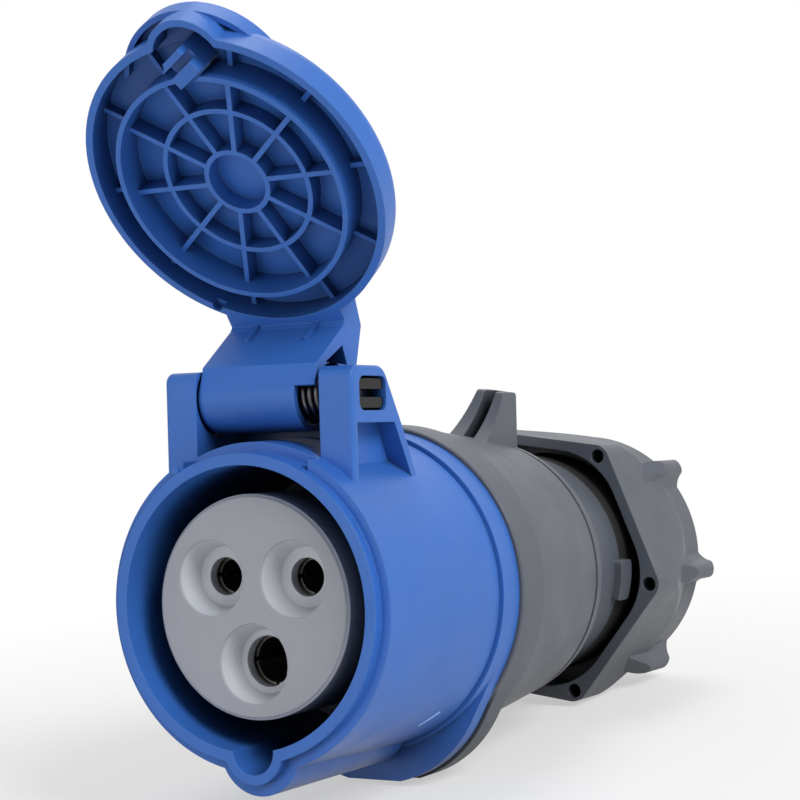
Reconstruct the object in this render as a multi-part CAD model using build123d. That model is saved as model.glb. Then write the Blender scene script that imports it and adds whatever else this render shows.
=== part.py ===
from build123d import *
from math import acos, cos, degrees, radians, sin, sqrt
import os

# Three-pole industrial cable coupler with an open lid and a cable gland
# Sizes are in millimetres. Y is the coupler's axis: the mouth faces -Y and the cable leaves towards +Y.
# Z is up, and the origin is the centre of the contact insert's front face.

# Contact pattern that the plug has to meet
insert_r = 17.0
pole_circle_r = 8.55
line_pin_r = 2.5
earth_pin_r = 3.5
pin_clearance = 0.03
line_angle = 150
neutral_angle = 30
earth_angle = 270

# Contact insert
line_funnel_r = 5.85
line_hole_r = 2.93
earth_funnel_r = 6.1
earth_hole_r = 3.9
funnel_depth = 4.2
funnel_taper = 1.2
insert_edge_r = 0.5
insert_face_t = 6.0

# Sleeves and their rings
sleeve_front_gap = 0.5
sleeve_wall = 1.05
sleeve_slot_w = 0.6
sleeve_slot_l = 18.0
sleeve_shoulder_y = 32.0
sleeve_shoulder_step = 1.0
ring_t = 0.45
ring_w = 2.6
ring_setback = 2.5
chamber_gap = 0.1
seat_gap = 0.05

# Terminals behind the insert
terminal_end_y = 52.0
line_terminal_r = 3.9
earth_terminal_r = 4.2
wire_hole_r = 2.3
wire_hole_depth = 9.0
terminal_screw_r = 1.4
terminal_screw_proud = 1.2
terminal_screw_slot_w = 0.6
terminal_screw_setback = 4.5
plate_t = 0.5
plate_l = 6.0
plate_drop = 1.2

# Carrier flange, cover and cover screws
carrier_stop_y = 31.0
carrier_flange_t = 3.5
carrier_hub_r = 16.0
carrier_rear_y = 38.0
cover_t = 3.5
cover_screw_r = 1.4
cover_screw_head_r = 2.5
cover_screw_head_t = 1.8
cover_screw_l = 11.0
cover_screw_slot_w = 0.7

# Mouth collar
collar_bore_r = 21.4
lip_wall = 1.77
lip_front_y = -2.75
shoulder_y = -1.03
shoulder_r = 24.73
collar_rear_r = 25.6
groove_y = 31.4
groove_w = 0.6
groove_r = 25.35
flange_r = 26.2
collar_rear_y = 37.5
seat_r = 24.15
joint_chamfer = 0.25
shoulder_relief_y = 1.2
peg_r = 0.6
peg_x = -11.8
peg_z = 20.62
peg_proud = 1.4
peg_gap = 0.25

# Keyway below the mouth, seen as concentric troughs
keyway_centre_r = 21.15
keyway_turn = 3.5
keyway_r = 3.6
keyway_lip_wall = 1.5
keyway_ridge_wall = 3.4

# Foot wings on the collar and on the rear body
wing_r = 21.0
wing_drop = 11.0
foot_flat_z = -31.4
collar_wing_t = 3.0
body_wing_gap = 0.8
body_wing_t = 4.8
body_wing_extra = 0.4

# Hinge ears
hinge_y = 8.8
hinge_z = 31.6
ear_inner_x = 11.2
ear_t = 5.8
ear_web_t = 2.4
ear_front_y = 2.8
ear_top_z = 35.8
ear_top_back_y = 12.3
ear_knee_y = 17.9
ear_knee_z = 26.5
ear_foot_y = 22.9
ear_foot_z = 17.0
ear_root_z = 12.0
ear_front_flange = 1.2
ear_rear_flange = 2.4
ear_recess_top_z = 27.2
ear_corner_r = 1.7
ear_back_corner_r = 3.0
ear_edge_r = 0.6
ear_cup_depth = 1.5
ear_cup_gap = 0.3
stop_web_y = 15.3
stop_web_t = 1.8
stop_web_top_z = 28.4
pocket_w = 7.9
pocket_h = 5.2
pocket_depth = 3.5
pocket_corner_r = 1.3
ear_bore_gap = 0.05

# Hinge pin
pin_r = 1.75
pin_head_gap = 0.35
pin_head_setback = 0.4
pin_slot_h = 1.2
pin_slot_depth = 1.8
pin_tail_r = 2.3

# Lid, drawn shut against the collar and then swung open
open_angle = 143.5
lid_plane_y = -2.75
lid_shut_gap = 0.12
lid_rim_gap = 0.48
lid_rim_wall = 1.2
lid_outer_depth = 4.3
lid_skin = 1.3
lid_edge_r = 2.4
hub_ring_r = 5.5
mid_ring_r = 12.5
seal_ring_r = 19.2
seal_ring_crest = 2.5
rib_t = 0.8
spoke_count = 10
stub_crest = -1.5
bulge_gap = 0.45
bulge_wall = 1.05

# Lid hook and thumb tab
hook_crest = 3.2
hook_blade_t = 1.1
hook_block_t = 2.0
hook_blade_l = 4.9
hook_slope = 33.0
hook_pitch = 2.9
hook_x = -0.8
hook_r = 20.9
hook_web_crest = 1.2
hook_gap = 0.4
tab_r = 13.9
tab_centre_drop = 13.9
tab_t = 1.5
tab_lip_w = 0.9
tab_lip_h = 1.3

# Lid arm and hinge barrel
barrel_r = 5.5
barrel_left_gap = 0.25
arm_left_gap = 0.3
barrel_right_x = 6.4
barrel_bore_gap = 0.07
barrel_end_r = 2.2
barrel_mouth_r = 4.4
barrel_mouth_depth = 1.2
arm_right_x = 10.0
arm_front_z = 28.2
arm_front_y = -4.7
arm_crown_y = -0.2
arm_crown_z = 31.75
arm_crown_r = 8.0
arm_under_front_y = -0.3
arm_under_z = 25.15
arm_under_back_y = 9.4
arm_root_z = 20.0
spring_notch_gap = 1.1
cheek_recess_depth = 4.0
cheek_corners = ((1.8, 27.35), (7.4, 26.5), (2.6, 30.5))
arm_rib_t = 0.8
arm_rib_drop = 0.5
arm_rib_l = 4.2

# Torsion spring
spring_r = 3.8
spring_wire_r = 0.5
spring_turns = 4
spring_end_gap = 0.12

# Rear body
body_ring_r = 26.9
body_ring_end_y = 45.3
body_cone_start_r = 26.6
body_cone_end_r = 23.6
body_end_y = 76.5
body_end_edge_r = 1.2
body_lip_l = 3.2
body_groove_w = 1.2
body_groove_r = 23.5
body_wall = 2.6
body_floor_t = 5.5
spigot_wall = 3.2
neck_r = 20.5
neck_l = 26.5
neck_bore_r = 14.0
neck_seat_depth = 17.0
passage_r = 9.5

# Ratchet lug on the neck
lug_turn = -7.0
lug_setback = 11.3
lug_l = 4.6
lug_h = 7.4
lug_r = 22.0
lug_corner_r = 0.8

# Finger fin on top of the rear body
fin_turn = 9.0
fin_w = 5.2
fin_foot_w = 9.0
fin_wall = 1.5
fin_back_wall = 1.0
fin_top_z = 33.0
fin_top_l = 5.1
fin_l = 23.5
fin_setback = 1.0
fin_sag = 3.2
fin_slot_floor_z = 23.9
fin_corner_r = 0.8

# Gland stack
gland_bore_r = 8.6
seal_ring_t = 1.0
bush_l = 11.0
bush_rib_depth = 0.6
cage_ring_l = 3.5
cage_finger_count = 8
cage_finger_l = 6.0
cage_finger_r = 11.0
cage_finger_t = 1.8
cage_slot_w = 2.4
cage_tip_chamfer = 0.6

# Thrust ring and gland nut
nut_travel = 6.0
thrust_reserve = 0.5
thrust_t = 3.5
thrust_r = 16.5
thrust_bore_r = 11.4
turning_gap = 0.3
nut_grip = 1.5
nut_turn = -8.0
nut_flat_r = 24.2
nut_corner_r = 3.2
nut_hex_l = 3.0
nut_shoulder_l = 11.5
nut_shoulder_step = 3.2
nut_waist_l = 22.5
nut_waist_r = 23.8
nut_lobe_turn = 2.0
nut_lobe_pitch = 47.0
nut_lobe_front_l = 5.5
nut_lobe_sink = 0.6
nut_lobe_spread = 9.5
nut_lobe_hollow = 0.3
nut_lobe_r = 27.6
nut_lobe_tip_r = 1.7
nut_lobe_rise_l = 19.5
nut_lobe_drop = 1.8
nut_dome_r = 23.67
nut_dome_drop = 2.4
nut_end_t = 11.0
nut_end_r = 21.0
nut_skirt_wall = 1.9
nut_skirt_corner_r = 13.5
nut_skirt_depth = 9.0
nut_pocket_r = 1.3
nut_pocket_circle_r = 25.5
nut_pocket_depth = 5.0
nut_mouth_chamfer = 1.0

# Places that follow from the sizes above
lip_r = collar_bore_r + lip_wall
carrier_flange_end_y = carrier_stop_y + carrier_flange_t
body_front_y = carrier_flange_end_y + seal_ring_t
cover_end_y = carrier_rear_y + cover_t
ear_outer_x = ear_inner_x + ear_t
lid_crest_y = shoulder_y - lid_shut_gap
lid_floor_y = lid_plane_y - lid_outer_depth + lid_skin
lid_outer_y = lid_plane_y - lid_outer_depth
lid_rim_in_r = lip_r + lid_rim_gap
lid_rim_r = lid_rim_in_r + lid_rim_wall
barrel_left_x = barrel_left_gap - ear_inner_x - ear_cup_depth
arm_left_x = arm_left_gap - ear_inner_x
keyway_lip_r = keyway_r + keyway_lip_wall
body_wing_front_y = collar_rear_y + body_wing_gap
body_floor_y = body_end_y - body_floor_t
fin_back_y = body_end_y - fin_setback
fin_foot_y = fin_back_y - fin_l
fin_top_front_y = fin_back_y - fin_top_l
neck_end_y = body_end_y + neck_l
neck_seat_y = neck_end_y - neck_seat_depth
lug_front_y = body_end_y + lug_setback
lug_back_y = lug_front_y + lug_l
bush_end_y = neck_seat_y + bush_l
cage_ring_end_y = bush_end_y + cage_ring_l
thrust_front_y = neck_end_y + nut_travel + thrust_reserve
thrust_end_y = thrust_front_y + thrust_t
nut_front_y = neck_end_y - nut_grip - nut_skirt_depth
nut_end_y = thrust_end_y + nut_end_t
nut_dome_y = nut_end_y - nut_dome_drop
nut_lobe_end_y = nut_dome_y - nut_lobe_drop
cut = 1.0


# Drawing helpers
def shape(*corners):
    return make_face(Polyline(*corners, close=True))


def turned(*corners):
    return revolve(shape(*corners), Axis.Y)


def along_y(outline, start, end):
    return extrude(Plane.XZ.offset(-start) * outline, start - end)


def along_x(outline, start, end):
    return extrude(Plane.YZ.offset(start) * outline, end - start)


def about_axis(angle):
    return Rot(0, -angle, 0)


def pole(angle):
    return Pos(pole_circle_r * cos(radians(angle)), 0, pole_circle_r * sin(radians(angle)))


def trough(radius, start, end):
    outline = Pos(0, -keyway_centre_r) * Circle(radius)
    outline += Pos(0, -keyway_centre_r / 2 - insert_r / 2) * Rectangle(2 * radius, keyway_centre_r - insert_r)
    return about_axis(keyway_turn) * along_y(outline, start, end)


def egg(ring_r, foot_r):
    outline = make_hull(Circle(ring_r).edges() + (Pos(0, -wing_drop) * Circle(foot_r)).edges())
    return outline - Pos(0, foot_flat_z - foot_r) * Rectangle(2 * foot_r, 2 * foot_r)


# Each pole's angle, pin radius, face hole radius, funnel radius and terminal radius
poles = {
    "line": (line_angle, line_pin_r, line_hole_r, line_funnel_r, line_terminal_r),
    "neutral": (neutral_angle, line_pin_r, line_hole_r, line_funnel_r, line_terminal_r),
    "earth": (earth_angle, earth_pin_r, earth_hole_r, earth_funnel_r, earth_terminal_r),
}
cover_screw_angles = [angle + 60 for angle in (line_angle, neutral_angle, earth_angle)]


def sleeve_r(pin):
    return pin + pin_clearance + sleeve_wall


# Blue mouth collar
def ear():
    profile = shape(
        (ear_front_y, ear_root_z),
        (ear_front_y, ear_top_z),
        (ear_top_back_y, ear_top_z),
        (ear_knee_y, ear_knee_z),
        (ear_foot_y, ear_foot_z),
        (ear_foot_y, ear_root_z),
    )
    profile = fillet(profile.vertices().group_by(Axis.Y)[-1].sort_by(Axis.X)[-1], ear_back_corner_r)
    profile = fillet(profile.vertices().group_by(Axis.Y)[-1].sort_by(Axis.X)[0], ear_corner_r)
    recess = shape(
        (ear_front_y + ear_front_flange, ear_root_z),
        (ear_front_y + ear_front_flange, ear_recess_top_z),
        (ear_knee_y - ear_rear_flange - 0.4, ear_recess_top_z),
        (ear_foot_y - ear_rear_flange + 0.4, ear_foot_z),
        (ear_foot_y - ear_rear_flange + 0.4, ear_root_z),
    )
    pocket = Pos(hinge_y, hinge_z) * RectangleRounded(pocket_w, pocket_h, pocket_corner_r)
    solid = along_x(profile, ear_inner_x, ear_outer_x)
    front = solid.edges().filter_by(Axis.Z).group_by(Axis.Y)[0]
    solid = fillet(front.sort_by(Axis.X)[-1], ear_edge_r)
    solid -= along_x(recess, ear_inner_x + ear_web_t, ear_outer_x)
    solid -= along_x(pocket, ear_outer_x - pocket_depth, ear_outer_x)
    solid -= along_x(Pos(hinge_y, hinge_z) * Circle(pin_r + ear_bore_gap), ear_inner_x, ear_outer_x)
    return solid


def front_collar():
    collar = turned(
        (0, lip_front_y),
        (lip_r, lip_front_y),
        (lip_r, shoulder_y),
        (shoulder_r, shoulder_y),
        (collar_rear_r, groove_y),
        (groove_r, groove_y),
        (groove_r, groove_y + groove_w),
        (flange_r, groove_y + groove_w),
        (flange_r, collar_rear_y - joint_chamfer),
        (flange_r - joint_chamfer, collar_rear_y),
        (0, collar_rear_y),
    )
    relief = Pos(0, shoulder_r) * Rectangle(2 * ear_inner_x, shoulder_r) - Circle(lip_r)
    collar -= along_y(relief, shoulder_y, shoulder_relief_y)
    right_ear = ear()
    collar += right_ear
    collar += mirror(right_ear, Plane.YZ)
    cup = Pos(hinge_y, hinge_z) * Circle(barrel_r + ear_cup_gap)
    collar -= along_x(cup, -ear_inner_x - ear_cup_depth, -ear_inner_x)
    stop_web = Pos(stop_web_y + stop_web_t / 2, (ear_root_z + stop_web_top_z) / 2)
    stop_web *= Rectangle(stop_web_t, stop_web_top_z - ear_root_z)
    collar += along_x(stop_web, -ear_inner_x, ear_inner_x)
    collar += along_y(egg(flange_r, wing_r), collar_rear_y - collar_wing_t, collar_rear_y)
    collar += trough(keyway_lip_r, lip_front_y, groove_y)
    collar += trough(keyway_r + keyway_ridge_wall, shoulder_y, groove_y)
    collar += along_y(Pos(peg_x, peg_z) * Circle(peg_r), shoulder_y - peg_proud, ear_front_y)
    collar -= along_y(Circle(collar_bore_r), lip_front_y, carrier_stop_y)
    collar -= trough(keyway_r, lip_front_y, carrier_stop_y)
    collar -= along_y(Circle(seat_r), carrier_stop_y, collar_rear_y)
    return collar


# Light grey insert: the face with its funnels, and the carrier behind it with six-sided chambers
def insert_face():
    face = turned(
        (0, 0),
        (insert_r - insert_edge_r, 0),
        (insert_r, insert_edge_r),
        (insert_r, insert_face_t),
        (0, insert_face_t),
    )
    for angle, pin, hole, funnel, terminal in poles.values():
        face -= pole(angle) * turned(
            (0, 0),
            (funnel, 0),
            (funnel - funnel_taper, funnel_depth),
            (hole, funnel_depth),
            (hole, insert_face_t),
            (0, insert_face_t),
        )
    return face


def contact_carrier():
    flange_r_fit = seat_r - seat_gap
    carrier = turned(
        (0, insert_face_t),
        (insert_r, insert_face_t),
        (insert_r, carrier_stop_y),
        (flange_r_fit, carrier_stop_y),
        (flange_r_fit, carrier_flange_end_y),
        (carrier_hub_r, carrier_flange_end_y),
        (carrier_hub_r, carrier_rear_y),
        (0, carrier_rear_y),
    )
    for angle, pin, hole, funnel, terminal in poles.values():
        chamber = sleeve_r(pin) + ring_t + chamber_gap
        shoulder = sleeve_r(pin) + sleeve_shoulder_step + seat_gap
        front = RegularPolygon(chamber, 6, major_radius=False)
        rear = RegularPolygon(shoulder, 6, major_radius=False)
        carrier -= pole(angle) * along_y(front, insert_face_t, sleeve_shoulder_y)
        carrier -= pole(angle) * along_y(rear, sleeve_shoulder_y, carrier_rear_y)
    for angle in cover_screw_angles:
        carrier -= pole(angle) * along_y(Circle(cover_screw_r), cover_end_y - cover_screw_l, carrier_rear_y)
    return carrier


def contact(angle, pin, hole, funnel, terminal):
    tube_r = sleeve_r(pin)
    bore_r = pin + pin_clearance
    start = insert_face_t + sleeve_front_gap
    body = turned(
        (0, start),
        (tube_r - sleeve_wall / 3, start),
        (tube_r, start + sleeve_wall / 3),
        (tube_r, sleeve_shoulder_y),
        (tube_r + sleeve_shoulder_step, sleeve_shoulder_y),
        (tube_r + sleeve_shoulder_step, carrier_rear_y),
        (terminal, carrier_rear_y),
        (terminal, terminal_end_y),
        (0, terminal_end_y),
    )
    body -= along_y(Circle(bore_r), start, sleeve_shoulder_y)
    cross = Rectangle(2 * tube_r + cut, sleeve_slot_w) + Rectangle(sleeve_slot_w, 2 * tube_r + cut)
    body -= along_y(cross, start, start + sleeve_slot_l)
    body -= along_y(Circle(wire_hole_r), terminal_end_y - wire_hole_depth, terminal_end_y)
    screw_y = terminal_end_y - terminal_screw_setback
    outward = Pos(0, screw_y, 0) * about_axis(angle) * Rot(0, 90, 0)
    body -= outward * Pos(0, 0, terminal / 2) * Cylinder(terminal_screw_r, terminal)
    return pole(angle) * body


def contact_ring(angle, pin):
    start = insert_face_t + sleeve_front_gap + ring_setback
    band = Circle(sleeve_r(pin) + ring_t) - Circle(sleeve_r(pin))
    return pole(angle) * along_y(band, start, start + ring_w)


def pressure_plate(angle):
    screw_y = terminal_end_y - terminal_screw_setback
    width = 2 * sqrt(wire_hole_r**2 - (plate_drop + plate_t) ** 2) - 2 * seat_gap
    plate = Pos(plate_drop + plate_t / 2, screw_y, 0) * Box(plate_t, plate_l, width)
    return pole(angle) * about_axis(angle) * plate


def terminal_screw(angle, terminal):
    screw_y = terminal_end_y - terminal_screw_setback
    start = plate_drop + plate_t
    length = terminal + terminal_screw_proud - start
    screw = Cylinder(terminal_screw_r - seat_gap, length, align=(Align.CENTER, Align.CENTER, Align.MIN))
    screw -= Pos(0, 0, length) * Box(terminal_screw_slot_w, 2 * terminal_screw_r, terminal_screw_proud)
    return pole(angle) * about_axis(angle) * Pos(start, screw_y, 0) * Rot(0, 90, 0) * screw


def carrier_rear_cover():
    cover = along_y(Circle(carrier_hub_r), carrier_rear_y, cover_end_y)
    for angle, pin, hole, funnel, terminal in poles.values():
        cover -= pole(angle) * along_y(Circle(terminal + seat_gap), carrier_rear_y, cover_end_y)
    for angle in cover_screw_angles:
        cover -= pole(angle) * along_y(Circle(cover_screw_r + seat_gap), carrier_rear_y, cover_end_y)
    return cover


def cover_screw(angle):
    head_end = cover_end_y + cover_screw_head_t
    screw = along_y(Circle(cover_screw_head_r), cover_end_y, head_end)
    screw += along_y(Circle(cover_screw_r - seat_gap), cover_end_y - cover_screw_l, cover_end_y)
    slot = Rectangle(2 * cover_screw_head_r, cover_screw_slot_w)
    screw -= along_y(slot, head_end - cover_screw_head_t / 2, head_end)
    return pole(angle) * screw


# Dark grey rear body
def fin():
    side = make_face(
        Curve()
        + [
            ThreePointArc(
                (fin_foot_y, neck_r),
                ((fin_foot_y + fin_top_front_y) / 2 + fin_sag, (neck_r + fin_top_z) / 2 - fin_sag / 2),
                (fin_top_front_y, fin_top_z),
            ),
            Line((fin_top_front_y, fin_top_z), (fin_back_y, fin_top_z)),
            Line((fin_back_y, fin_top_z), (fin_back_y, neck_r)),
            Line((fin_back_y, neck_r), (fin_foot_y, neck_r)),
        ]
    )
    side = fillet(side.vertices().group_by(Axis.Y)[-1], fin_corner_r)
    section = shape(
        (-fin_foot_w / 2, neck_r),
        (-fin_w / 2, fin_top_z),
        (fin_w / 2, fin_top_z),
        (fin_foot_w / 2, neck_r),
    )
    solid = along_x(side, -fin_foot_w / 2, fin_foot_w / 2) & along_y(section, fin_foot_y, fin_back_y)
    slot = shape(
        (fin_foot_y, fin_slot_floor_z),
        (fin_foot_y, fin_top_z + cut),
        (fin_back_y - fin_back_wall, fin_top_z + cut),
        (fin_back_y - fin_back_wall, fin_slot_floor_z),
    )
    solid -= along_x(slot, -fin_w / 2 + fin_wall, fin_w / 2 - fin_wall)
    return about_axis(-fin_turn) * solid


def rear_body():
    spigot_r = seat_r - seat_gap
    body = turned(
        (0, body_front_y),
        (spigot_r, body_front_y),
        (spigot_r, collar_rear_y),
        (body_ring_r - joint_chamfer, collar_rear_y),
        (body_ring_r, collar_rear_y + joint_chamfer),
        (body_ring_r, body_ring_end_y),
        (body_cone_start_r, body_ring_end_y + body_ring_r - body_cone_start_r),
        (body_cone_end_r, body_end_y - body_end_edge_r),
        (body_cone_end_r - body_end_edge_r, body_end_y),
        (neck_r, body_end_y),
        (neck_r, neck_end_y),
        (0, neck_end_y),
    )
    wing = egg(body_ring_r - body_wing_extra, wing_r + body_wing_extra)
    body += along_y(wing, body_wing_front_y, body_wing_front_y + body_wing_t)
    groove_end_y = body_end_y - body_lip_l
    body -= along_y(Circle(body_ring_r) - Circle(body_groove_r), groove_end_y - body_groove_w, groove_end_y)
    body += fin()
    lug_side = Pos(lug_front_y + lug_l / 2, 0) * RectangleRounded(lug_l, lug_h, lug_corner_r)
    lug = along_x(lug_side, neck_bore_r, lug_r) & along_y(Circle(lug_r), lug_front_y, lug_back_y)
    body += about_axis(lug_turn) * lug
    body -= turned(
        (0, body_front_y),
        (spigot_r - spigot_wall, body_front_y),
        (spigot_r - spigot_wall, body_ring_end_y),
        (body_cone_end_r - body_wall, body_floor_y),
        (passage_r, body_floor_y),
        (passage_r, neck_seat_y),
        (neck_bore_r, neck_seat_y),
        (neck_bore_r, neck_end_y),
        (0, neck_end_y),
    )
    return body


# Rubber seals and the gland's cage
def body_seal_ring():
    outer = seat_r - seat_gap
    return along_y(Circle(outer) - Circle(outer - spigot_wall), carrier_flange_end_y, body_front_y)


def cable_seal():
    outer = neck_bore_r - seat_gap
    step = bush_l / 5
    corners = [(gland_bore_r, neck_seat_y)]
    for rib in range(5):
        inset = bush_rib_depth if rib % 2 else 0
        corners.append((outer - inset, neck_seat_y + rib * step))
        corners.append((outer - inset, neck_seat_y + (rib + 1) * step))
    corners.append((gland_bore_r, bush_end_y))
    return turned(*corners)


def clamping_cage():
    inner = cage_finger_r - cage_finger_t
    tip_y = cage_ring_end_y + cage_finger_l
    cage = turned(
        (inner, bush_end_y),
        (neck_bore_r - seat_gap, bush_end_y),
        (neck_bore_r - seat_gap, cage_ring_end_y),
        (cage_finger_r, cage_ring_end_y),
        (cage_finger_r, tip_y - cage_tip_chamfer),
        (cage_finger_r - cage_tip_chamfer, tip_y),
        (inner, tip_y),
    )
    for index in range(cage_finger_count // 2):
        slot = Rot(0, 0, 360 / cage_finger_count * index) * Rectangle(2 * neck_bore_r, cage_slot_w)
        cage -= along_y(slot, cage_ring_end_y, tip_y)
    return cage


def thrust_ring():
    return along_y(Circle(thrust_r) - Circle(thrust_bore_r), thrust_front_y, thrust_end_y)


# Gland nut with a six-sided skirt and three grip lobes on each side
def hexagon(flat_r, corner_r):
    outline = RegularPolygon(flat_r, 6, major_radius=False)
    return fillet(outline.vertices(), corner_r)


def lobe_outline():
    tip_x = nut_lobe_r - nut_lobe_tip_r
    foot = Vector(nut_waist_r - nut_lobe_sink, 0).rotate(Axis.Z, nut_lobe_spread)
    tip = Vector(tip_x, nut_lobe_tip_r)
    flank = (foot + tip) / 2 - Vector(nut_lobe_hollow, nut_lobe_hollow)
    edges = [
        Line((0, 0), foot),
        ThreePointArc(foot, flank, tip),
        ThreePointArc(tip, (nut_lobe_r, 0), (tip.X, -tip.Y)),
        ThreePointArc((tip.X, -tip.Y), (flank.X, -flank.Y), (foot.X, -foot.Y)),
        Line((foot.X, -foot.Y), (0, 0)),
    ]
    return make_face(edges)


def gland_nut():
    nut = along_y(hexagon(nut_flat_r, nut_corner_r), nut_front_y, nut_end_y)
    nut &= turned(
        (0, nut_front_y),
        (nut_lobe_r + cut, nut_front_y),
        (nut_lobe_r + cut, nut_front_y + nut_hex_l),
        (nut_waist_r + nut_shoulder_step, nut_front_y + nut_shoulder_l),
        (nut_waist_r, nut_front_y + nut_waist_l),
        (nut_dome_r, nut_dome_y),
        (nut_end_r, nut_end_y),
        (0, nut_end_y),
    )
    lobe_front_y = nut_front_y + nut_lobe_front_l
    lobe = along_y(lobe_outline(), lobe_front_y, nut_end_y)
    lobe &= turned(
        (0, lobe_front_y),
        (nut_waist_r - nut_lobe_sink, lobe_front_y),
        (nut_lobe_r, nut_front_y + nut_lobe_rise_l),
        (nut_lobe_r, nut_lobe_end_y),
        (nut_lobe_r - nut_lobe_tip_r / 2, nut_lobe_end_y + nut_lobe_tip_r / 2),
        (nut_dome_r - nut_lobe_sink, nut_dome_y),
        (0, nut_dome_y),
    )
    for side in (0, 180):
        for step in (-1, 0, 1):
            nut += about_axis(side + nut_lobe_turn + nut_lobe_pitch * step) * lobe
    skirt = hexagon(nut_flat_r - nut_skirt_wall, nut_skirt_corner_r)
    pocket = Pos(nut_pocket_circle_r, 0) * Circle(nut_pocket_r)
    pockets = [Rot(0, 0, 60 * index) * pocket for index in range(6)]
    nut -= along_y(skirt, nut_front_y, nut_front_y + nut_skirt_depth)
    nut -= along_y(Sketch() + pockets, nut_front_y, nut_front_y + nut_pocket_depth)
    nut -= turned(
        (0, nut_front_y),
        (neck_r + turning_gap, nut_front_y),
        (neck_r + turning_gap, thrust_front_y - turning_gap),
        (thrust_r + turning_gap, thrust_front_y - turning_gap),
        (thrust_r + turning_gap, thrust_end_y),
        (gland_bore_r, thrust_end_y),
        (gland_bore_r, nut_end_y - nut_mouth_chamfer),
        (gland_bore_r + nut_mouth_chamfer, nut_end_y),
        (0, nut_end_y),
    )
    return about_axis(nut_turn) * nut


# Hinge pin and spring
def hinge_pin():
    tail_x = -ear_outer_x + pocket_depth
    head_x = ear_outer_x - pocket_depth
    centre = Pos(hinge_y, hinge_z)
    head_w = pocket_w - 2 * pin_head_gap
    head_h = pocket_h - 2 * pin_head_gap
    head = RectangleRounded(head_w, head_h, pocket_corner_r - pin_head_gap)
    pin = along_x(centre * Circle(pin_r), tail_x, head_x)
    pin += along_x(centre * head, head_x, ear_outer_x - pin_head_setback)
    pin += along_x(centre * Circle(pin_tail_r), tail_x - pin_tail_r / 2, tail_x)
    slot = centre * Rectangle(pocket_w, pin_slot_h)
    pin -= along_x(slot, ear_outer_x - pin_head_setback - pin_slot_depth, ear_outer_x)
    return pin


def lid_spring():
    start = barrel_right_x - barrel_mouth_depth + spring_end_gap + spring_wire_r
    end = ear_inner_x - spring_end_gap - spring_wire_r
    mean_r = spring_r - spring_wire_r
    pitch = (end - start) / spring_turns
    path = Helix(pitch, end - start, mean_r, center=(0, 0, 0), direction=(0, 0, 1))
    section = Plane(origin=path @ 0, z_dir=path % 0) * Circle(spring_wire_r)
    coil = sweep(section, path=path)
    return Pos(start, hinge_y, hinge_z) * Rot(0, 90, 0) * coil


# Blue lid, shut
def barrel_tangent(y, z, side):
    hinge = Vector(hinge_y, hinge_z)
    away = Vector(y, z) - hinge
    turn = -side * degrees(acos(barrel_r / away.length))
    return hinge + away.rotate(Axis.Z, turn) * (barrel_r / away.length)


def lid_arm():
    over = barrel_tangent(arm_crown_y, arm_crown_z, 1)
    under = barrel_tangent(arm_under_back_y, arm_under_z, -1)
    web = shape(
        (lid_floor_y, arm_root_z),
        (lid_floor_y - lid_skin / 2, lid_rim_r - lid_edge_r),
        (arm_front_y, arm_front_z),
        (arm_crown_y, arm_crown_z),
        (over.X, over.Y),
        (hinge_y, hinge_z),
        (under.X, under.Y),
        (arm_under_back_y, arm_under_z),
        (arm_under_front_y, arm_under_z),
        (lid_crest_y, lid_rim_r),
        (lid_crest_y, arm_root_z),
    )
    web = fillet(web.vertices().sort_by_distance((arm_crown_y, arm_crown_z))[0], arm_crown_r)
    centre = Pos(hinge_y, hinge_z)
    arm = along_x(web, arm_left_x, arm_right_x)
    arm -= along_y(Circle(lid_rim_in_r), lid_floor_y, lid_crest_y)
    arm -= along_x(centre * Circle(spring_r + spring_notch_gap), barrel_right_x, arm_right_x)
    barrel = along_x(centre * Circle(barrel_r), barrel_left_x, barrel_right_x)
    arm += fillet(barrel.edges().group_by(Axis.X)[0], barrel_end_r)
    arm -= along_x(shape(*cheek_corners), arm_right_x - cheek_recess_depth, arm_right_x)
    for rib_x in (-6.0, 5.0):
        rib = Box(arm_rib_t, arm_rib_l, arm_rib_drop * 2)
        arm += Pos(rib_x, lid_crest_y + arm_rib_l / 2, arm_under_z) * rib
    arm -= along_x(centre * Circle(pin_r + barrel_bore_gap), barrel_left_x, barrel_right_x)
    arm -= along_x(centre * Circle(barrel_mouth_r), barrel_right_x - barrel_mouth_depth, barrel_right_x)
    return arm


def hook_centre():
    return about_axis(keyway_turn) * Pos(hook_x, 0, -hook_r) * Rot(0, hook_slope, 0)


def lid_hook():
    hook = Part()
    web = (0, hook_pitch, hook_web_crest)
    blade = (-hook_pitch / 2, hook_blade_t, hook_crest)
    block = (hook_pitch / 2, hook_block_t, hook_crest)
    for offset, width, crest in (web, blade, block):
        place = hook_centre() * Pos(0, 0, offset)
        hook += place * along_y(Rectangle(hook_blade_l, width), lid_floor_y, lid_plane_y + crest)
    envelope = along_y(Circle(collar_bore_r - hook_gap), lid_floor_y, lid_plane_y + hook_crest)
    envelope += trough(keyway_r - hook_gap, lid_floor_y, lid_plane_y + hook_crest)
    return hook & envelope


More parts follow.
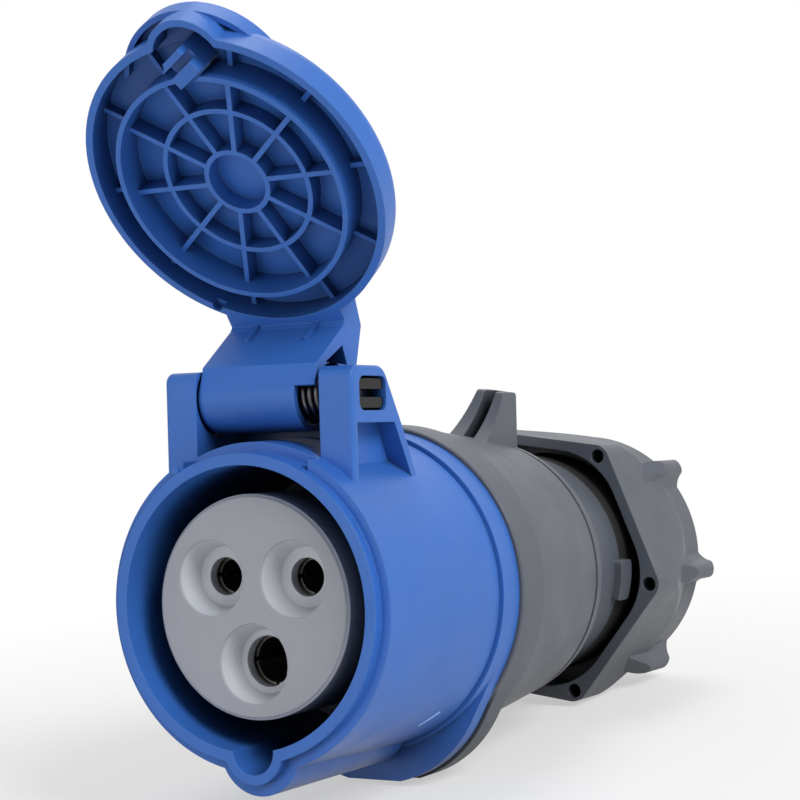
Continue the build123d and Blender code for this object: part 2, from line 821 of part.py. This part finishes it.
def lid():
    section = shape((0, lid_outer_y), (lid_rim_r, lid_outer_y), (lid_rim_r, lid_crest_y), (0, lid_crest_y))
    corner = section.vertices().group_by(Axis.Y)[0].sort_by(Axis.X)[-1]
    cup = revolve(fillet(corner, lid_edge_r), Axis.Y)
    bulge_in_r = keyway_lip_r + bulge_gap
    cup += trough(bulge_in_r + bulge_wall, lid_outer_y, lid_crest_y)
    cup += lid_arm()
    cup -= along_y(Circle(lid_rim_in_r), lid_floor_y, lid_crest_y)
    cup -= trough(bulge_in_r, lid_floor_y, lid_crest_y)
    for radius, crest in ((hub_ring_r, 0), (mid_ring_r, 0), (seal_ring_r, seal_ring_crest)):
        ring = along_y(Circle(radius) - Circle(radius - rib_t), lid_floor_y, lid_plane_y + crest)
        if radius == seal_ring_r:
            opening = Rectangle(hook_blade_l + 2 * hook_gap, hook_pitch + hook_block_t + 2 * hook_gap)
            ring -= hook_centre() * along_y(opening, lid_floor_y, lid_plane_y + crest)
        cup += ring
    for index in range(spoke_count):
        turn = about_axis(360 / spoke_count * (index + 0.5))
        spoke_l = seal_ring_r - hub_ring_r
        stub_l = lid_rim_in_r - seal_ring_r + rib_t
        spoke = Pos(0, hub_ring_r - rib_t / 2 + spoke_l / 2) * Rectangle(rib_t, spoke_l)
        stub = Pos(0, seal_ring_r - rib_t / 2 + stub_l / 2) * Rectangle(rib_t, stub_l)
        cup += turn * along_y(spoke, lid_floor_y, lid_plane_y)
        cup += turn * along_y(stub, lid_floor_y, lid_plane_y + stub_crest)
    tab = Pos(0, -tab_centre_drop) * Circle(tab_r) - Circle(lid_rim_r - lid_edge_r)
    lip = tab - Pos(0, -tab_centre_drop) * Circle(tab_r - tab_lip_w)
    cup += along_y(tab, lid_outer_y, lid_outer_y + tab_t)
    cup += along_y(lip, lid_outer_y, lid_outer_y + tab_t + tab_lip_h)
    cup += lid_hook()
    cup -= along_y(Pos(peg_x, peg_z) * Circle(peg_r + peg_gap), shoulder_y - peg_proud - peg_gap, lid_crest_y)
    return cup


def swung_open(solid):
    return Pos(0, hinge_y, hinge_z) * Rot(-open_angle, 0, 0) * Pos(0, -hinge_y, -hinge_z) * solid


nodes = {
    "front_collar": front_collar(),
    "insert_face": insert_face(),
    "contact_carrier": contact_carrier(),
    "carrier_rear_cover": carrier_rear_cover(),
    "carrier_screws": Compound(children=[cover_screw(angle) for angle in cover_screw_angles]),
    "body_seal_ring": body_seal_ring(),
    "rear_body": rear_body(),
    "cable_seal": cable_seal(),
    "clamping_cage": clamping_cage(),
    "thrust_ring": thrust_ring(),
    "gland_nut": gland_nut(),
    "hinge_pin": hinge_pin(),
    "lid_spring": lid_spring(),
    "lid": swung_open(lid()),
}
screws = []
for name, (angle, pin, hole, funnel, terminal) in poles.items():
    nodes[name + "_contact"] = contact(angle, pin, hole, funnel, terminal)
    nodes[name + "_contact_ring"] = contact_ring(angle, pin)
    nodes[name + "_pressure_plate"] = pressure_plate(angle)
    screws.append(terminal_screw(angle, terminal))
nodes["terminal_screws"] = Compound(children=screws)

os.makedirs("parts", exist_ok=True)
for name, solid in nodes.items():
    export_step(solid, "parts/" + name + ".step")
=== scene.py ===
from math import atan, cos, pi, sin

import bpy
from mathutils import Matrix, Vector


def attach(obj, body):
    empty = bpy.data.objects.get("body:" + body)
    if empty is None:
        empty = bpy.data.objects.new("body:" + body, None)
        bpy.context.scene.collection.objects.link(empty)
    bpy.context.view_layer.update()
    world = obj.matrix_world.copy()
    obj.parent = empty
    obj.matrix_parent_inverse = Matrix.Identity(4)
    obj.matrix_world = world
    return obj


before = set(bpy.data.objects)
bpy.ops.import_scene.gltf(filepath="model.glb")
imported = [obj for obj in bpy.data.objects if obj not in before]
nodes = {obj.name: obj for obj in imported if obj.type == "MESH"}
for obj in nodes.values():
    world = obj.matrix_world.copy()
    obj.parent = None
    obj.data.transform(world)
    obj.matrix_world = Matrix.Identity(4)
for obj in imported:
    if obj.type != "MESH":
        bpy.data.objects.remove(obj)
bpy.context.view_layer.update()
scene = bpy.context.scene
scene.view_settings.view_transform = "Standard"

# How far a surface looks for what covers it, and where the painted sheen on the insert's funnels starts, in
# metres
gap_reach = 0.03
sheen_from_y = 0.00015


# Material helpers
def new_material(name):
    material = bpy.data.materials.new(name)
    material.use_nodes = True
    tree = material.node_tree
    shader = tree.nodes["Principled BSDF"]
    return material, tree, shader


def add(tree, kind, **values):
    node = tree.nodes.new(kind)
    for key, value in values.items():
        setattr(node, key, value)
    return node


def noise(tree, scale, detail=3.0, roughness=0.55, stretch=None):
    place = add(tree, "ShaderNodeTexCoord")
    source = place.outputs["Object"]
    if stretch:
        mapping = add(tree, "ShaderNodeMapping")
        mapping.inputs["Scale"].default_value = stretch
        tree.links.new(source, mapping.inputs["Vector"])
        source = mapping.outputs["Vector"]
    texture = add(tree, "ShaderNodeTexNoise")
    texture.inputs["Scale"].default_value = scale
    texture.inputs["Detail"].default_value = detail
    texture.inputs["Roughness"].default_value = roughness
    tree.links.new(source, texture.inputs["Vector"])
    return texture.outputs["Fac"]


def span(tree, value, low, high, from_low=0.3, from_high=0.7):
    node = add(tree, "ShaderNodeMapRange")
    node.inputs["From Min"].default_value = from_low
    node.inputs["From Max"].default_value = from_high
    node.inputs["To Min"].default_value = low
    node.inputs["To Max"].default_value = high
    tree.links.new(value, node.inputs["Value"])
    return node.outputs["Result"]


def mixed(tree, factor, first, second):
    node = add(tree, "ShaderNodeMix", data_type="RGBA")
    for socket, value in ((6, first), (7, second)):
        if isinstance(value, tuple):
            node.inputs[socket].default_value = (*value, 1.0)
        else:
            tree.links.new(value, node.inputs[socket])
    tree.links.new(factor, node.inputs[0])
    return node.outputs[2]


def edge_amount(tree, radius):
    """How much a point lies on an outer or inner edge, from a rounded normal against the true one."""
    bevel = add(tree, "ShaderNodeBevel", samples=6)
    bevel.inputs["Radius"].default_value = radius
    geometry = add(tree, "ShaderNodeNewGeometry")
    dot = add(tree, "ShaderNodeVectorMath", operation="DOT_PRODUCT")
    tree.links.new(bevel.outputs["Normal"], dot.inputs[0])
    tree.links.new(geometry.outputs["Normal"], dot.inputs[1])
    return bevel.outputs["Normal"], span(tree, dot.outputs["Value"], 1.0, 0.0, 0.8, 0.99)


def bumped(tree, shader, height, strength, distance, normal):
    bump = add(tree, "ShaderNodeBump")
    bump.inputs["Strength"].default_value = strength
    bump.inputs["Distance"].default_value = distance
    tree.links.new(height, bump.inputs["Height"])
    tree.links.new(normal, bump.inputs["Normal"])
    tree.links.new(bump.outputs["Normal"], shader.inputs["Normal"])


def open_amount(tree, open_at):
    """One on a face that sees more than open_at of its surroundings, nought deep in a gap or a cavity,
    where shade is painted.
    """
    occlusion = add(tree, "ShaderNodeAmbientOcclusion", samples=6)
    occlusion.inputs["Distance"].default_value = gap_reach
    return span(tree, occlusion.outputs["AO"], 0.0, 1.0, 0.05, open_at)


def behind(tree, depth):
    """One on what lies deeper than that along the axis, such as the funnels behind the insert's face."""
    place = add(tree, "ShaderNodeTexCoord")
    split = add(tree, "ShaderNodeSeparateXYZ")
    tree.links.new(place.outputs["Object"], split.inputs[0])
    return span(tree, split.outputs["Y"], 0.0, 1.0, depth, 3.0 * depth)


def moulded(
    name, colour, edge_wear_and_highlight, rough, grain, grain_depth, edge=0.00025, specular=0.35, open_at=0.42, funnel_sheen=None
):
    material, tree, shader = new_material(name)
    normal, rim = edge_amount(tree, edge)
    # The first colour is painted shade for deep gaps and cavities; then a darker random tone and dust
    # specks
    painted_shade_colour = tuple(0.10 * value for value in colour)
    darker = tuple(0.9 * value for value in colour)
    dusty = tuple(min(1.0, 1.3 * value + 0.004) for value in colour)
    body = mixed(tree, span(tree, noise(tree, 55.0), 0.0, 1.0), darker, colour)
    body = mixed(tree, span(tree, noise(tree, 1600.0, 2.0), 0.0, 0.22, 0.6, 0.75), body, dusty)
    # Lighter on outer and inner edges: partly wear, partly a painted highlight
    body = mixed(tree, span(tree, rim, 0.0, 0.45, 0.0, 1.0), body, edge_wear_and_highlight)
    if funnel_sheen:
        # Painted sheen: a lighter colour on the funnels behind the insert's face
        body = mixed(tree, behind(tree, sheen_from_y), body, funnel_sheen)
    # Painted shade: the colour turns nearly black deep in gaps and cavities and fades out towards open
    # faces
    body = mixed(tree, open_amount(tree, open_at), painted_shade_colour, body)
    tree.links.new(body, shader.inputs["Base Color"])
    smudges = span(tree, noise(tree, 130.0, 4.0), rough - 0.06, rough + 0.06)
    tree.links.new(smudges, shader.inputs["Roughness"])
    shader.inputs["Specular IOR Level"].default_value = specular
    bumped(tree, shader, noise(tree, grain, 4.0, 0.6), grain_depth, 0.00006, normal)
    return material


def metal(name, colour, dull, rough, stretch, edge=0.0001):
    material, tree, shader = new_material(name)
    normal, _ = edge_amount(tree, edge)
    body = mixed(tree, span(tree, noise(tree, 240.0, 4.0), 0.0, 1.0), dull, colour)
    tree.links.new(body, shader.inputs["Base Color"])
    shader.inputs["Metallic"].default_value = 1.0
    scratches = noise(tree, 900.0, 3.0, 0.6, stretch)
    tree.links.new(span(tree, scratches, rough - 0.08, rough + 0.1), shader.inputs["Roughness"])
    bumped(tree, shader, scratches, 0.12, 0.00003, normal)
    return material


# Finishes: colour, colour of the lighter edges (wear and a painted highlight), roughness, and the scale and
# depth of the grain
blue = moulded("blue_polyamide", (0.040, 0.160, 0.560), (0.10, 0.27, 0.70), 0.42, 2600.0, 0.25)
insert_grey = (0.380, 0.394, 0.434)
# Lighter funnel colour: a painted sheen
insert_funnel_sheen = (0.56, 0.58, 0.62)
insert = moulded(
    "grained_insert", insert_grey, (0.52, 0.54, 0.58), 0.52, 1500.0, 0.9, open_at=0.27, funnel_sheen=insert_funnel_sheen
)
carrier = moulded("grained_carrier", insert_grey, (0.44, 0.45, 0.49), 0.58, 1500.0, 0.9)
grey = moulded("grey_polyamide", (0.095, 0.106, 0.130), (0.18, 0.195, 0.23), 0.46, 2200.0, 0.45)
black_edge_wear_and_highlight = (0.012, 0.012, 0.013)
black = moulded(
    "black_polyamide", (0.005, 0.005, 0.006), black_edge_wear_and_highlight, 0.2, 900.0, 0.3, edge=0.0003, specular=0.2
)
# Light blue tick: its colour paints the highlight along the raised bar
tick_highlight_blue = moulded("tick_painted_highlight", (0.20, 0.36, 0.78), (0.42, 0.56, 0.92), 0.4, 2600.0, 0.2)
white = moulded("natural_polyamide", (0.60, 0.60, 0.56), (0.68, 0.68, 0.65), 0.45, 2200.0, 0.25)
rubber_edge_wear_and_highlight = (0.035, 0.035, 0.036)
# Black rubber for the seals, also used as painted shade on the neck thread
rubber_and_neck_shade = moulded("black_rubber", (0.016, 0.016, 0.017), rubber_edge_wear_and_highlight, 0.72, 1400.0, 0.5, specular=0.3)
contact = metal("nickel_plated_contact", (0.30, 0.29, 0.27), (0.17, 0.16, 0.145), 0.34, (1.0, 12.0, 1.0))
zinc = metal("zinc_plate", (0.62, 0.62, 0.60), (0.48, 0.48, 0.50), 0.32, (1.0, 6.0, 6.0))
spring = metal("oiled_spring_wire", (0.13, 0.13, 0.135), (0.07, 0.07, 0.075), 0.30, (6.0, 1.0, 1.0))

finishes = {
    "front_collar": blue,
    "lid": blue,
    "insert_face": insert,
    "contact_carrier": carrier,
    "carrier_rear_cover": carrier,
    "carrier_screws": zinc,
    "terminal_screws": zinc,
    "body_seal_ring": rubber_and_neck_shade,
    "cable_seal": rubber_and_neck_shade,
    "rear_body": grey,
    "gland_nut": grey,
    "clamping_cage": white,
    "thrust_ring": white,
    "hinge_pin": black,
    "lid_spring": spring,
}
for pole in ("line", "neutral", "earth"):
    finishes[pole + "_contact"] = contact
    finishes[pole + "_contact_ring"] = spring
    finishes[pole + "_pressure_plate"] = zinc
for name, node in nodes.items():
    node.data.materials.clear()
    node.data.materials.append(finishes[name])


# Pieces that ride on the bodies: a black thread on the neck, whose black paints the shade inside the nut's
# skirt, and the plain tick on the collar, whose light blue paints a highlight
def piece(name, points, faces, material):
    mesh = bpy.data.meshes.new(name)
    mesh.from_pydata(points, [], faces)
    mesh.materials.append(material)
    obj = bpy.data.objects.new(name, mesh)
    scene.collection.objects.link(obj)
    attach(obj, "housing")
    return obj


def ring_faces(count, rows):
    faces = []
    for row in range(rows):
        below, above = row * count, (row + 1) % rows * count
        for i in range(count):
            after = (i + 1) % count
            faces.append((below + i, above + i, above + after, below + after))
    return faces


# Black thread on the neck: its black paints the shade inside the nut's skirt
thread_start = 0.0903
thread_pitch = 0.0012
thread_turns = 9
thread_root = 0.02045
thread_crest = 0.02068
sides = 96
thread_inside = thread_root - 0.0003
thread_valley = thread_root + 0.00006
thread_end = thread_start + thread_turns * thread_pitch
profile = [(thread_start, thread_inside)]
for index in range(thread_turns):
    start = thread_start + index * thread_pitch
    profile += [(start, thread_valley), (start + 0.5 * thread_pitch, thread_crest)]
profile += [(thread_end, thread_valley), (thread_end, thread_inside)]
turns = [2 * pi * i / sides for i in range(sides)]
points = [(r * cos(turn), y, r * sin(turn)) for y, r in profile for turn in turns]
piece("neck_shade_thread", points, ring_faces(sides, len(profile)), rubber_and_neck_shade)

# The tick's light blue finish is a painted highlight
tick_half_w = 0.00020
tick_proud = 0.00022
tick_sunk = 0.0002
collar_front_y = -0.00103
collar_front_r = 0.02473
collar_taper = 0.02683
tick_ends = (Vector((0.01540, 0.02222, -0.02014)), Vector((0.01773, 0.02527, -0.01823)))
steps = 6
points = []
for index in range(steps + 1):
    at = tick_ends[0].lerp(tick_ends[1], index / steps)
    out = Vector((at.x, 0.0, at.z)).normalized()
    across = out.cross(tick_ends[1] - tick_ends[0]).normalized() * tick_half_w
    collar_r = collar_front_r + (at.y - collar_front_y) * collar_taper
    surface = out * collar_r + Vector((0.0, at.y, 0.0))
    low, high = surface - out * tick_sunk, surface + out * tick_proud
    points += [low - across, high - 0.6 * across, high + 0.6 * across, low + across]
faces = [(0, 1, 2, 3), tuple(4 * steps + i for i in (3, 2, 1, 0))]
for index in range(steps):
    a, b = 4 * index, 4 * index + 4
    faces += [(a + i, b + i, b + (i + 1) % 4, a + (i + 1) % 4) for i in range(4)]
piece("collar_tick", points, faces, tick_highlight_blue)


# Floor in the plane that the part rests on: its foot and the nut's lowest corner
foot_y = 0.0431
foot_z = -0.0314
nut = nodes["gland_nut"]
nut_points = [nut.matrix_world @ vertex.co for vertex in nut.data.vertices]
rest_slope = min((point.z - foot_z) / (point.y - foot_y) for point in nut_points)
floor_gap = 0.00005
near_floor = 0.06
far_floor = 0.20
white_share = 0.5

bpy.ops.mesh.primitive_plane_add(size=6.0, location=(0.0, foot_y, foot_z - floor_gap))
floor = bpy.context.object
floor.name = "floor"
floor.rotation_euler = (atan(rest_slope), 0.0, 0.0)
paper, tree, shader = new_material("pale_floor")
shader.inputs["Base Color"].default_value = (0.88, 0.88, 0.88, 1.0)
shader.inputs["Roughness"].default_value = 0.8
shader.inputs["Specular IOR Level"].default_value = 0.2
floor.data.materials.append(paper)


def seen_rays(tree):
    """One for camera, glossy and transmitted rays, nought for the rays that light the part."""
    path = add(tree, "ShaderNodeLightPath")
    either = add(tree, "ShaderNodeMath", operation="MAXIMUM")
    tree.links.new(path.outputs["Is Camera Ray"], either.inputs[0])
    tree.links.new(path.outputs["Is Glossy Ray"], either.inputs[1])
    any_of = add(tree, "ShaderNodeMath", operation="MAXIMUM")
    tree.links.new(either.outputs[0], any_of.inputs[0])
    tree.links.new(path.outputs["Is Transmission Ray"], any_of.inputs[1])
    return any_of.outputs[0]


def plain_mix(tree, factor, surface, output, kind):
    plain = add(tree, kind)
    plain.inputs["Color"].default_value = (1.0, 1.0, 1.0, 1.0)
    plain.inputs["Strength"].default_value = 1.0
    choose = add(tree, "ShaderNodeMixShader")
    tree.links.new(factor, choose.inputs[0])
    tree.links.new(surface, choose.inputs[1])
    tree.links.new(plain.outputs[0], choose.inputs[2])
    tree.links.new(choose.outputs[0], tree.nodes[output].inputs["Surface"])


# The floor keeps the part's shadow near the part and turns plain white away from it
place = add(tree, "ShaderNodeTexCoord")
distance = add(tree, "ShaderNodeVectorMath", operation="LENGTH")
tree.links.new(place.outputs["Object"], distance.inputs[0])
away = span(tree, distance.outputs["Value"], white_share, 1.0, near_floor, far_floor)
both = add(tree, "ShaderNodeMath", operation="MULTIPLY")
tree.links.new(away, both.inputs[0])
tree.links.new(seen_rays(tree), both.inputs[1])
plain_mix(tree, both.outputs[0], shader.outputs[0], "Material Output", "ShaderNodeEmission")

world = bpy.data.worlds.new("studio")
scene.world = world
world.use_nodes = True
tree = world.node_tree
background = tree.nodes["Background"]
background.inputs["Color"].default_value = (0.94, 0.96, 1.0, 1.0)
background.inputs["Strength"].default_value = 0.24
plain_mix(tree, seen_rays(tree), background.outputs[0], "World Output", "ShaderNodeBackground")


# Soft lamps
def lamp(name, place, size, power, colour=(1.0, 1.0, 1.0)):
    data = bpy.data.lights.new(name, "AREA")
    data.shape = "DISK"
    data.size = size
    data.energy = power
    data.color = colour
    obj = bpy.data.objects.new(name, data)
    scene.collection.objects.link(obj)
    obj.location = place
    obj.rotation_euler = (Vector((0.0, 0.04, 0.0)) - Vector(place)).to_track_quat("-Z", "Y").to_euler()


lamp("key_light", (0.85, -0.34, 0.70), 0.5, 8.5)
lamp("fill_light", (-0.35, -0.95, 0.05), 0.6, 1.7)
lamp("top_light", (-0.10, 0.35, 0.95), 0.6, 3.5, (1.0, 0.95, 0.88))


# Camera, from the photo's circles
right = Vector((0.8678, 0.4961, -0.02955))
forward = Vector((-0.4958, 0.8683, 0.01688)).normalized()
up = right.cross(forward).normalized()
right = forward.cross(up).normalized()
camera_data = bpy.data.cameras.new("camera")
camera_data.sensor_fit = "HORIZONTAL"
camera_data.sensor_width = 36.0
camera_data.lens = 91.3
camera_data.clip_start = 0.01
camera = bpy.data.objects.new("camera", camera_data)
scene.collection.objects.link(camera)
turn = Matrix((right, up, -forward)).transposed().to_4x4()
camera.matrix_world = Matrix.Translation((0.17136, -0.25340, 0.02528)) @ turn
scene.camera = camera
